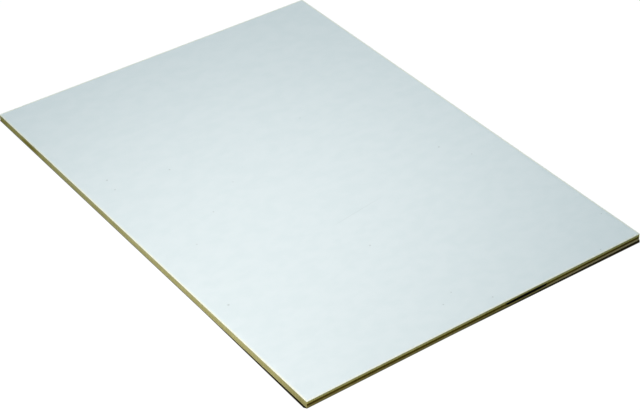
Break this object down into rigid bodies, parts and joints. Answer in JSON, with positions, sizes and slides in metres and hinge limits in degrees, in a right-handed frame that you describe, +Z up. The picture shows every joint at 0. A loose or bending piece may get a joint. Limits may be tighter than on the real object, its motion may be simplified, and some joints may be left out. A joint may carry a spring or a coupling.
{
  "type": "poplar plywood sheet",
  "caption": "Small thin poplar plywood sheet lying flat, with a white film on its upper face, bare veneers showing on its sawn edges and a bare back.",
  "frame": {"origin": "on the underside of the back veneer, below the middle of the sheet", "axes": "+X along the sheet's length, +Y across its width, +Z up through its thickness, out of the coated face"},
  "size_m": [0.297, 0.21, 0.004],
  "materials": {
    "white_film": "satin, smooth, faintly bluish white",
    "poplar_veneer": "bare, sanded",
    "poplar_core": "bare, saw cut"
  },
  "bodies": {
    "root": {"white_coat": "white_film", "face_veneer": "poplar_veneer", "core_veneer": "poplar_core", "back_veneer": "poplar_veneer"}
  },
  "joints": []
}
